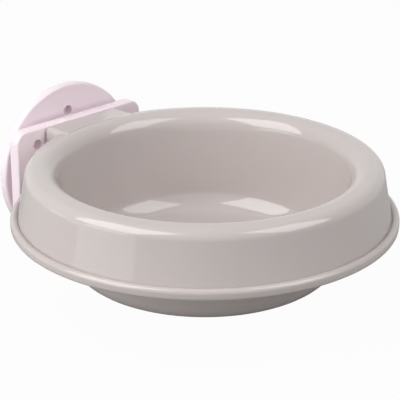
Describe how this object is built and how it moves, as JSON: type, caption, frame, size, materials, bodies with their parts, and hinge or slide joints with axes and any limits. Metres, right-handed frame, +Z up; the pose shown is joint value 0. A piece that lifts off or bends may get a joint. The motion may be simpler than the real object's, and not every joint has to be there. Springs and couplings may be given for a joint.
{
  "type": "seed cup",
  "caption": "Round seed cup with a rolled rim and a flared skirt, hung by a moulded tab on a hook plate that a disc and wing nut clamp to cage wires.",
  "frame": {"origin": "on the clamp screw's axis, in the plate face that bears on the cage wires", "axes": "+X across the plate, +Y from the cup through the wires towards the wing nut, +Z up"},
  "size_m": [0.12, 0.1458, 0.0542],
  "materials": {
    "cup_plastic": "glossy moulded plastic, warm grey",
    "bracket_plastic": "satin moulded plastic, pale pink",
    "screw_steel": "bright zinc plated steel"
  },
  "bodies": {
    "bracket": {"bracket_plate": "bracket_plastic", "clamp_screw": "screw_steel"},
    "cup_body": {"cup": "cup_plastic"},
    "disc_body": {"clamp_disc": "bracket_plastic"},
    "nut_body": {"wing_nut": "bracket_plastic"}
  },
  "joints": [
    {"name": "cup_lift", "type": "slide", "parent": "bracket", "child": "cup_body", "axis": [0, 0, 1], "range_m": [0, 0.025]},
    {"name": "disc_slide", "type": "slide", "parent": "bracket", "child": "disc_body", "axis": [0, 1, 0], "range_m": [-0.0015, 0.006]},
    {"name": "nut_spin", "type": "hinge", "parent": "disc_body", "child": "nut_body", "pos_m": [0, 0, 0], "axis": [0, 1, 0], "range_deg": [-540, 2160]}
  ],
  "couplings": [
    {"joint": "disc_slide", "follows": "nut_spin", "m_per_rad": 0.00015915}
  ]
}
